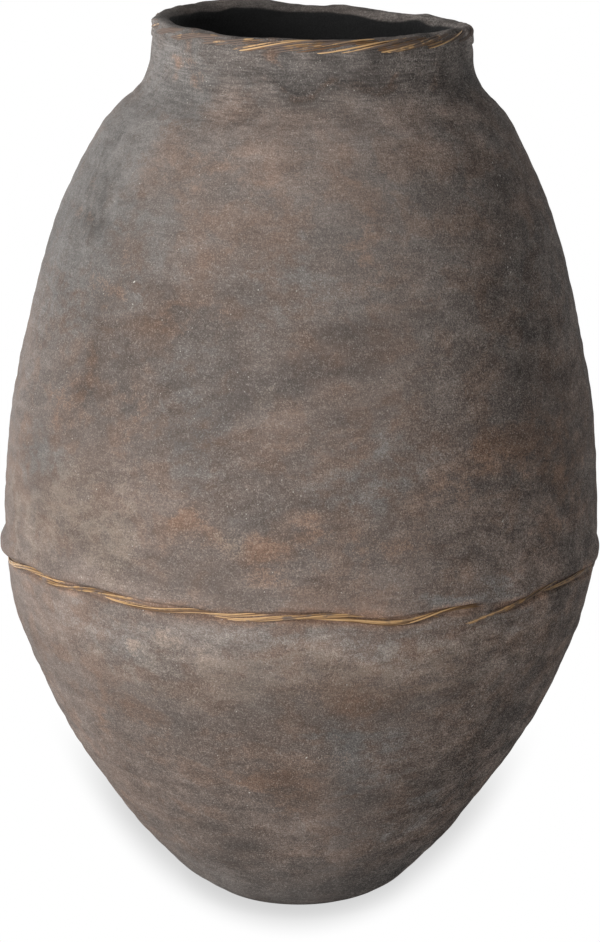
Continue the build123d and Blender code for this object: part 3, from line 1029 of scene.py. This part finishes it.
class Graph:
    """Adds nodes to a tree and joins them: an input that is a socket is linked, any other is set."""

    def __init__(self, tree):
        self.tree = tree

    def link(self, output, target):
        """Joins an output to an input."""
        self.tree.links.new(output, target)

    def add(self, kind, inputs=None, **settings):
        """A new node with its settings and inputs, laid out in rows of twelve."""
        row, column = divmod(len(self.tree.nodes), 12)
        node = self.tree.nodes.new(kind)
        node.location = (220 * column, -320 * row)
        for key, value in settings.items():
            setattr(node, key, value)
        for key, value in (inputs or {}).items():
            if isinstance(value, bpy.types.NodeSocket):
                self.link(value, node.inputs[key])
            else:
                node.inputs[key].default_value = value
        return node

    def math(self, operation, *values):
        """One sum on values."""
        return self.add("ShaderNodeMath", dict(enumerate(values)), operation=operation).outputs[0]

    def plus(self, first, second):
        """The sum of two values."""
        return self.math("ADD", first, second)

    def less(self, first, second):
        """The first value less the second."""
        return self.math("SUBTRACT", first, second)

    def times(self, first, second):
        """The product of two values."""
        return self.math("MULTIPLY", first, second)

    def times_plus(self, first, second, third):
        """The product of two values, plus a third."""
        return self.math("MULTIPLY_ADD", first, second, third)

    def ease(self, value, low, high, to_low=0.0, to_high=1.0):
        """Eases a value from to_low to to_high as it goes from low to high."""
        inputs = {"Value": value, "From Min": low, "From Max": high, "To Min": to_low, "To Max": to_high}
        return self.add("ShaderNodeMapRange", inputs, interpolation_type="SMOOTHSTEP").outputs["Result"]

    def mix(self, share, first, second, blend="MIX"):
        """Mixes two colours, each a socket or a plain colour."""
        first, second = (shade if isinstance(shade, bpy.types.NodeSocket) else (*shade, 1.0)
                         for shade in (first, second))
        inputs = {0: share, 6: first, 7: second}
        return self.add("ShaderNodeMix", inputs, data_type="RGBA", blend_type=blend).outputs[2]

    def grey(self, value):
        """A grey of a value."""
        return self.add("ShaderNodeCombineColor", {"Red": value, "Green": value, "Blue": value}).outputs[0]

    def part(self, kind, value, socket, number):
        """One part of a vector or a colour."""
        return self.add(kind, {socket: value}).outputs[number]

    def noise(self, place, scale, detail=3.0, roughness=0.55, distortion=0.0):
        """Cloudy noise about one half."""
        inputs = {"Vector": place, "Scale": scale, "Detail": detail, "Roughness": roughness,
                  "Distortion": distortion}
        return self.add("ShaderNodeTexNoise", inputs).outputs["Fac"]

    def stretch(self, place, scale, offset=(0.0, 0.0, 0.0)):
        """Places scaled along each axis."""
        return self.add("ShaderNodeMapping", {"Vector": place, "Scale": scale, "Location": offset}).outputs[0]

    def mask(self, name):
        """A mask that the piece carries."""
        return self.add("ShaderNodeAttribute", attribute_name=name).outputs["Fac"]

    def place(self):
        """Places on the piece, in the jar's own frame."""
        return self.add("ShaderNodeTexCoord").outputs["Object"]

    def group(self, tree, inputs):
        """A node group's outputs, with its inputs."""
        return self.add("ShaderNodeGroup", inputs, node_tree=tree).outputs

    def bump(self, shader, height, strength, depth):
        """Raises the shader's surface by a height."""
        node = self.add("ShaderNodeBump", {"Strength": strength, "Distance": depth, "Height": height})
        self.link(node.outputs["Normal"], shader.inputs["Normal"])


def new_group(name, inputs, outputs):
    """An empty node group with named sockets, as its graph, its inputs and its output node's inputs."""
    tree = bpy.data.node_groups.new(name, "ShaderNodeTree")
    for socket, kind in inputs.items():
        tree.interface.new_socket(socket, in_out="INPUT", socket_type=kind)
    for socket in outputs:
        tree.interface.new_socket(socket, in_out="OUTPUT", socket_type="NodeSocketFloat")
    graph = Graph(tree)
    return graph, graph.add("NodeGroupInput").outputs, graph.add("NodeGroupOutput").inputs


def grit_group():
    """Fine grit: packed random cells, each a rounded grain with a tone of its own, and specks on a few
    larger cells, most of them faint and in loose clusters, with a bright one here and there."""
    inputs = {"Vector": "NodeSocketVector", "Grain": "NodeSocketFloat"}
    graph, given, out = new_group("Grit", inputs, ["Tone", "Height", "Specks"])
    place = given["Vector"]
    per_metre = graph.math("DIVIDE", 1.0, given["Grain"])
    grains = graph.add("ShaderNodeTexVoronoi", {"Vector": place, "Scale": per_metre}).outputs
    cloud = graph.noise(place, graph.times(per_metre, 0.2), 2.0, 0.6)
    tone = graph.part("ShaderNodeSeparateColor", grains["Color"], "Color", 0)
    tone = graph.times_plus(tone, 0.65, graph.times(cloud, 0.35))
    wide = {"Vector": place, "Scale": graph.times(per_metre, 0.28)}
    cells = graph.add("ShaderNodeTexVoronoi", wide).outputs
    lot = graph.part("ShaderNodeSeparateColor", cells["Color"], "Color", 0)
    cluster = graph.ease(graph.noise(place, graph.times(per_metre, 0.02), 2.0), 0.45, 0.70)
    faint = graph.math("POWER", graph.ease(graph.times_plus(cluster, 0.30, lot), 0.76, 1.30), 2.0)
    chosen = graph.math("MAXIMUM", faint, graph.ease(lot, 0.982, 0.990))
    speck = graph.ease(cells["Distance"], 0.05, 0.24, 1.0, 0.0)
    graph.link(tone, out["Tone"])
    graph.link(graph.times_plus(grains["Distance"], -0.7, tone), out["Height"])
    graph.link(graph.times(speck, chosen), out["Specks"])
    return graph.tree


def patch_group():
    """Cloudy patches of a given size: noise with its contrast raised about the middle."""
    inputs = {"Vector": "NodeSocketVector", "Size": "NodeSocketFloat"}
    graph, given, out = new_group("Patches", inputs, ["Mask"])
    cloud = graph.noise(given["Vector"], graph.math("DIVIDE", 1.0, given["Size"]), 5.0, 0.55, 0.3)
    graph.link(graph.ease(cloud, 0.36, 0.64), out["Mask"])
    return graph.tree


def brush_group():
    """Brush lines: noise drawn out level, or along a slope across X, in a broad and a fine set of lines."""
    inputs = {"Vector": "NodeSocketVector", "Slope": "NodeSocketFloat"}
    graph, given, out = new_group("Brush lines", inputs, ["Lines", "Fine"])
    place = graph.add("ShaderNodeSeparateXYZ", {"Vector": given["Vector"]}).outputs
    height = graph.less(place["Z"], graph.times(place["X"], given["Slope"]))
    level = graph.add("ShaderNodeCombineXYZ", {"X": place["X"], "Y": place["Y"], "Z": height}).outputs[0]
    graph.link(graph.noise(graph.stretch(level, BROAD_LINES), 1.0, 3.0, 0.55), out["Lines"])
    graph.link(graph.noise(graph.stretch(level, FINE_LINES), 1.0, 2.0, 0.6), out["Fine"])
    return graph.tree


def new_material(name):
    """A material with a Principled shader, as the material, its graph and the shader."""
    material = bpy.data.materials.new(name)
    material.use_nodes = True
    return material, Graph(material.node_tree), material.node_tree.nodes["Principled BSDF"]


def slip_clay(finish, groups):
    """Dark earth slip on gritty clay: brown under ash and rust patches, then the marks by hand and fire, all
    in a shade that brush lines, grit and patches vary and that the light marks raise or lower as painted
    light and shade, then white grit and painted glints, and a darker inner lip with near-black below it
    inside."""
    material, graph, shader = new_material("jar_clay")
    place = graph.place()
    up = graph.part("ShaderNodeSeparateXYZ", place, "Vector", "Z")
    zone = {name: graph.ease(up, *change) for name, change in ZONES.items()}
    patch = {}
    for name, (size, offset) in PATCHES.items():
        moved = graph.stretch(place, PATCH_STRETCH, offset)
        patch[name] = graph.group(groups["patches"], {"Vector": moved, "Size": size})["Mask"]
    grit = graph.group(groups["grit"], {"Vector": place, "Grain": finish.grain})
    level = graph.group(groups["brush"], {"Vector": place, "Slope": 0.0})
    slanted = graph.group(groups["brush"], {"Vector": place, "Slope": finish.brush_slope})
    turned = graph.less(slanted["Lines"], level["Lines"])
    lines = graph.times_plus(graph.mask("slant"), turned, level["Lines"])
    calm = graph.less(graph.plus(zone["calm"], zone["low"]), zone["neck"])
    # Bare and side shade: how strongly the grit shows, more on the right as painted shading of grazing light
    bare = graph.mask("bare")

    def worn(name):
        """A mark's mask, broken up by patches, brush lines and grit, times the most that it covers."""
        mark = graph.mask(name)
        ragged = mark
        breaks = [(patch["small"], WEAR_PATCHES), (lines, WEAR_LINES), (grit["Tone"], WEAR_GRIT)]
        for value, weight in breaks:
            ragged = graph.times_plus(graph.less(value, 0.5), weight, ragged)
        there = graph.ease(mark, 0.02, 0.2)
        return graph.times(graph.times(graph.ease(ragged, 0.10, 0.90), there), COVER[name])

    def vary(value, by, shade=1.0):
        """A shade that a value about one half varies by an amount."""
        return graph.times_plus(graph.times(graph.less(value, 0.5), by), shade, shade)

    base = graph.mix(graph.times(patch["wide"], zone["ashy"]), finish.brown, finish.ash)
    base = graph.mix(graph.times(patch["broad"], zone["ashy"]), base, finish.ash)
    base = graph.mix(graph.times(graph.ease(patch["middling"], 0.45, 1.0), zone["rusty"]), base, finish.rust)
    base = graph.mix(graph.plus(zone["grey_neck"], zone["grey_foot"]), base, finish.ash)
    for name in COVER:
        base = graph.mix(worn(name), base, getattr(finish, name))

    shade = vary(graph.ease(lines, 0.30, 0.70), graph.times_plus(calm, CALM_SHADE, LINE_SHADE))
    shade = vary(level["Fine"], graph.times(zone["streaky"], FINE_SHADE), shade)
    shade = vary(grit["Tone"], bare, shade)
    shade = vary(patch["small"], graph.times(bare, PATCH_SHADE), shade)
    shade = vary(patch["dark"], graph.times(graph.less(bare, DARK_FROM), DARK_SHADE), shade)
    # The light marks paint light and shade into the colour, along with some of the slip's own tone
    shade = graph.times_plus(graph.mask("light"), shade, shade)
    base = graph.mix(1.0, base, graph.grey(shade), "MULTIPLY")

    grains = graph.times(graph.ease(grit["Tone"], 0.68, 0.85), graph.times(bare, GRAIN_SHARE))
    base = graph.mix(grains, base, finish.speck)
    base = graph.mix(graph.times(grit["Specks"], SPECK_SHARE), base, finish.speck)
    # Painted highlights: the glints are white dots where grains catch the light
    base = graph.mix(graph.ease(graph.mask("glint"), 0.5, 0.85), base, finish.speck)
    # The inner lip darkens and the inside below it turns near-black
    base = graph.mix(graph.times(graph.mask("smoke"), INNER_LIP_DARK_SHARE), base, finish.char)
    base = graph.mix(graph.mask("soot"), base, finish.soot)
    graph.link(base, shader.inputs["Base Color"])
    graph.link(graph.ease(grit["Tone"], 0.2, 0.8, 0.94, 0.76), shader.inputs["Roughness"])
    shader.inputs["Specular IOR Level"].default_value = 0.35

    line_height = graph.times(lines, graph.times_plus(zone["low"], LOW_RELIEF, LINE_RELIEF))
    height = graph.times_plus(grit["Height"], bare, line_height)
    graph.bump(shader, graph.times_plus(level["Fine"], FINE_RELIEF, height), 0.7, finish.clay_depth)
    return material


def straw(finish, groups):
    """Dry straw: brown to gold from straw to straw, with fibres along each one and clay dust in patches."""
    material, graph, shader = new_material("jar_straw")
    place = graph.place()
    fibre = graph.add("ShaderNodeAttribute", attribute_name="fibre").outputs["Vector"]
    fibres = graph.noise(graph.stretch(fibre, FIBRES), 1.0, 3.0, 0.6)
    patches = graph.group(groups["patches"], {"Vector": place, "Size": 0.012})["Mask"]
    grit = graph.group(groups["grit"], {"Vector": place, "Grain": finish.grain})
    tone = graph.times_plus(graph.less(fibres, 0.5), 1.3, graph.mask("tone"))
    base = graph.mix(graph.ease(tone, 0.0, 1.0), finish.straw_brown, finish.straw_gold)
    dust = graph.times_plus(graph.less(patches, 0.5), 0.7, graph.mask("dust"))
    base = graph.mix(graph.ease(dust, 0.25, 0.75), base, finish.brown)
    graph.link(base, shader.inputs["Base Color"])
    graph.link(graph.ease(dust, 0.2, 0.8, 0.5, 0.9), shader.inputs["Roughness"])
    graph.bump(shader, graph.times_plus(grit["Height"], 0.3, fibres), 0.5, finish.straw_depth)
    return material


def finish_named(name):
    """The clay or the straw, made with its node groups the first time it is asked for."""
    if name not in bpy.data.materials:
        finish = bpy.context.scene.pithos_finish
        groups = {"grit": grit_group(), "patches": patch_group(), "brush": brush_group()}
        slip_clay(finish, groups)
        straw(finish, groups)
    return bpy.data.materials[name]


class PITHOS_OT_raise_wall(bpy.types.Operator):
    """Raises the slab, the six courses, the neck and the lip as pieces of one skin"""

    bl_idname = "pithos.raise_wall"
    bl_label = "Raise the wall"

    def execute(self, context):
        skin = jar_skin(context.scene.pithos_wall, context.scene.pithos_ropes)
        rows = skin[-1]
        for node in rows:
            clay_piece(node, skin, finish_named("jar_clay"))
        return {"FINISHED"}


class PITHOS_OT_smear_band(bpy.types.Operator):
    """Smears the clay roll over the belly seam"""

    bl_idname = "pithos.smear_band"
    bl_label = "Smear the band"

    def execute(self, context):
        belly_band(context.scene.pithos_wall, finish_named("jar_clay"))
        return {"FINISHED"}


class PITHOS_OT_lay_ropes(bpy.types.Operator):
    """Lays the belly rope in its seam and beds the rim rope in the lip"""

    bl_idname = "pithos.lay_ropes"
    bl_label = "Lay the ropes"

    def execute(self, context):
        wall, ropes = context.scene.pithos_wall, context.scene.pithos_ropes
        self.lay_belly_rope(wall, ropes)
        self.lay_rim_rope(wall, ropes)
        return {"FINISHED"}

    def lay_belly_rope(self, wall, ropes):
        """A thin rope along the seam, with its forks, cleanest in front and dusty on the right and where
        clay was smeared over it."""
        seam = wall.seam_radius - ropes.belly_depth + 1j * wall.seam_height

        def centre(azimuth, strand):
            """The seam's line, plus the rope's wander and the strand's fork."""
            return seam + 1j * rope_wander(azimuth) + (FORK_LIFT - 1j) * rope_fork(azimuth, strand)

        def dusty(azimuth):
            """Dust everywhere, less in front, more under smeared clay and easing up on the right."""
            on_the_right = smooth(swing(azimuth, BELLY_DUST_FROM), 0, BELLY_DUST_OVER)
            return BELLY_DUST + bumps(azimuth, BELLY_DUST_SPOTS) + BELLY_DUST_RIGHT * on_the_right

        def lay(azimuth):
            """Whole turns round the jar."""
            return ropes.belly_turns * azimuth

        straw_rope(
            "belly_rope_straw", "belly_rope", 61, centre, lay, dusty,
            strands=ropes.belly_strands, orbit=ropes.belly_orbit, straw_radius=ropes.belly_straw,
            loose=1.0, gold=0.52, blade=0.0, uneven=0.25)

    def lay_rim_rope(self, wall, ropes):
        """A thick rope in the lip, whose bright blades show in front and which dust hides elsewhere."""

        def dusty(azimuth):
            """Dust everywhere, more at one spot and easing up away from the front."""
            away = smooth(abs(swing(azimuth, RIM_DUST_FROM)), *RIM_DUST_ANGLES)
            return RIM_DUST + bumps(azimuth, RIM_DUST_SPOTS) + RIM_DUST_AWAY * away

        def centre(azimuth, strand):
            """A circle in the lip, the same for every strand."""
            return rim_rope_middle(wall, ropes) + 0 * azimuth

        def lay(azimuth):
            """Turns that are drawn out on one side."""
            return rim_lay(azimuth, ropes)

        straw_rope(
            "rim_rope_straw", "rim_rope", 62, centre, lay, dusty,
            strands=ropes.rim_strands, orbit=ropes.rim_orbit, straw_radius=ropes.rim_straw,
            loose=0.15, gold=0.60, blade=0.38, uneven=0.25)


class PITHOS_OT_set_stage(bpy.types.Operator):
    """Sets the floor, the light and the camera"""

    bl_idname = "pithos.set_stage"
    bl_label = "Set the stage"

    def execute(self, context):
        scene, stage = context.scene, context.scene.pithos_stage
        self.lay_floor(scene, stage)
        self.light(scene, stage)
        self.place_camera(scene, stage)
        scene.view_settings.view_transform = "Standard"
        return {"FINISHED"}

    def lay_floor(self, scene, stage):
        """A level grid of paper."""
        line = np.linspace(-FLOOR_REACH, FLOOR_REACH, FLOOR_SIDE)
        across, along = np.meshgrid(line, line)
        points = np.stack([across, along, np.zeros_like(across)], axis=-1).reshape(-1, 3)
        number = np.arange(FLOOR_SIDE - 1)
        corner = (number[:, None] * FLOOR_SIDE + number).ravel()
        faces = np.stack([corner, corner + 1, corner + FLOOR_SIDE + 1, corner + FLOOR_SIDE], axis=-1)
        mesh = bpy.data.meshes.new("pale_floor")
        mesh.from_pydata(points, [], faces.tolist())
        mesh.materials.append(self.paper(scene.pithos_wall, stage))
        floor = bpy.data.objects.new("pale_floor", mesh)
        scene.collection.objects.link(floor)

    def paper(self, wall, stage):
        """Pale paper that lights itself for the camera, less a soft shadow behind the jar, which ends in
        front on a parabola, and a thin one where the foot touches it."""
        material, graph, shader = new_material("pale_floor")
        shader.inputs["Base Color"].default_value = (0.7, 0.7, 0.7, 1.0)
        shader.inputs["Roughness"].default_value = 0.9
        place = graph.add("ShaderNodeSeparateXYZ", {"Vector": graph.place()}).outputs
        slope = graph.math("DIVIDE", place["X"], stage.shadow_bend)
        steep = graph.math("SQRT", graph.times_plus(slope, slope, 1.0))
        bend = graph.times(graph.times(slope, place["X"]), 0.5)
        behind = graph.times(graph.plus(place["Y"], wall.foot_radius), stage.shadow_widening)
        gap = graph.math("DIVIDE", graph.less(bend, behind), steep)
        edge = graph.ease(gap, 0.0, stage.shadow_soft, stage.shadow_dark, 0.0)
        shadow = graph.times(edge, graph.ease(place["Y"], 0.15, 0.55, 1.0, 0.0))
        touch = graph.add("ShaderNodeAmbientOcclusion", {"Distance": 0.025}, samples=16).outputs["AO"]
        white = graph.times(graph.less(1.0, shadow), graph.ease(touch, 0.2, 0.9, 0.95, 1.0))
        lit = graph.add("ShaderNodeEmission", {"Color": graph.grey(white)})
        self.show(graph, shader, lit, "Material Output")
        return material

    def show(self, graph, hidden, shown, output):
        """Shows one shader to the camera and another to all other rays."""
        seen = graph.add("ShaderNodeLightPath").outputs["Is Camera Ray"]
        both = graph.add("ShaderNodeMixShader", {0: seen, 1: hidden.outputs[0], 2: shown.outputs[0]})
        graph.link(both.outputs[0], graph.tree.nodes[output].inputs["Surface"])

    def light(self, scene, stage):
        """A tall window light on the left, a weaker light behind on each side and an even fill from all
        round, which looks white to the camera."""
        self.hang(scene, "window", stage.key_power, stage.key_turn, KEY_HEIGHT)
        self.hang(scene, "left_edge", stage.left_power, stage.left_turn, EDGE_HEIGHT)
        self.hang(scene, "right_edge", stage.right_power, stage.right_turn, EDGE_HEIGHT)
        world = bpy.data.worlds.new("studio")
        world.use_nodes = True
        graph = Graph(world.node_tree)
        sky = world.node_tree.nodes["Background"]
        sky.inputs["Strength"].default_value = stage.fill
        sky.inputs["Color"].default_value = (1, 1, 1, 1)
        backdrop = graph.add("ShaderNodeBackground", {"Color": (1, 1, 1, 1), "Strength": 1.0})
        self.show(graph, sky, backdrop, "World Output")
        scene.world = world

    def hang(self, scene, name, power, turn, height):
        """A tall soft light that is turned left of the camera by an angle and faces the jar."""
        lamp = bpy.data.lights.new(name, "AREA")
        lamp.shape = "RECTANGLE"
        lamp.size, lamp.size_y = LAMP_SIZE
        lamp.energy = power
        light = bpy.data.objects.new(name, lamp)
        place = Vector((-LAMP_AWAY * np.sin(turn), -LAMP_AWAY * np.cos(turn), height))
        aim = (Vector((0, 0, LAMP_AIM)) - place).to_track_quat("-Z", "Y")
        light.matrix_world = Matrix.Translation(place) @ aim.to_matrix().to_4x4()
        light.visible_camera = False
        scene.collection.objects.link(light)

    def place_camera(self, scene, stage):
        """Looks along +Y and down, turned a little about its own axis."""
        lens = bpy.data.cameras.new("camera")
        lens.sensor_width = 36.0
        lens.lens = stage.focal_length
        lens.clip_end = 100.0
        camera = bpy.data.objects.new("camera", lens)
        place = Matrix.Translation((stage.camera_side, -stage.camera_distance, stage.camera_height))
        tilt = Matrix.Rotation(np.pi / 2 - stage.camera_pitch, 4, "X")
        camera.matrix_world = place @ tilt @ Matrix.Rotation(stage.camera_roll, 4, "Z")
        scene.collection.objects.link(camera)
        scene.camera = camera


class PITHOS_PT_panel(bpy.types.Panel):
    """Lists the steps that dress the jar"""

    bl_idname = "PITHOS_PT_panel"
    bl_label = "Pithos"
    bl_space_type = "VIEW_3D"
    bl_region_type = "UI"
    bl_category = "Pithos"

    def draw(self, context):
        for step in STEPS:
            self.layout.operator(step.bl_idname)


GROUPS = {
    "pithos_wall": PithosWall,
    "pithos_ropes": PithosRopes,
    "pithos_finish": PithosFinish,
    "pithos_stage": PithosStage,
}
STEPS = [PITHOS_OT_raise_wall, PITHOS_OT_smear_band, PITHOS_OT_lay_ropes, PITHOS_OT_set_stage]


def register():
    """Makes the sizes, the steps and the panel known to Blender."""
    for name, group in GROUPS.items():
        bpy.utils.register_class(group)
        setattr(bpy.types.Scene, name, PointerProperty(type=group))
    for kind in [*STEPS, PITHOS_PT_panel]:
        bpy.utils.register_class(kind)


def unregister():
    """Takes them away again."""
    for kind in [PITHOS_PT_panel, *reversed(STEPS)]:
        bpy.utils.unregister_class(kind)
    for name, group in reversed(GROUPS.items()):
        delattr(bpy.types.Scene, name)
        bpy.utils.unregister_class(group)


def main():
    """Dresses the jar."""
    register()
    bpy.ops.pithos.raise_wall()
    bpy.ops.pithos.smear_band()
    bpy.ops.pithos.lay_ropes()
    bpy.ops.pithos.set_stage()


if __name__ == "__main__":
    main()
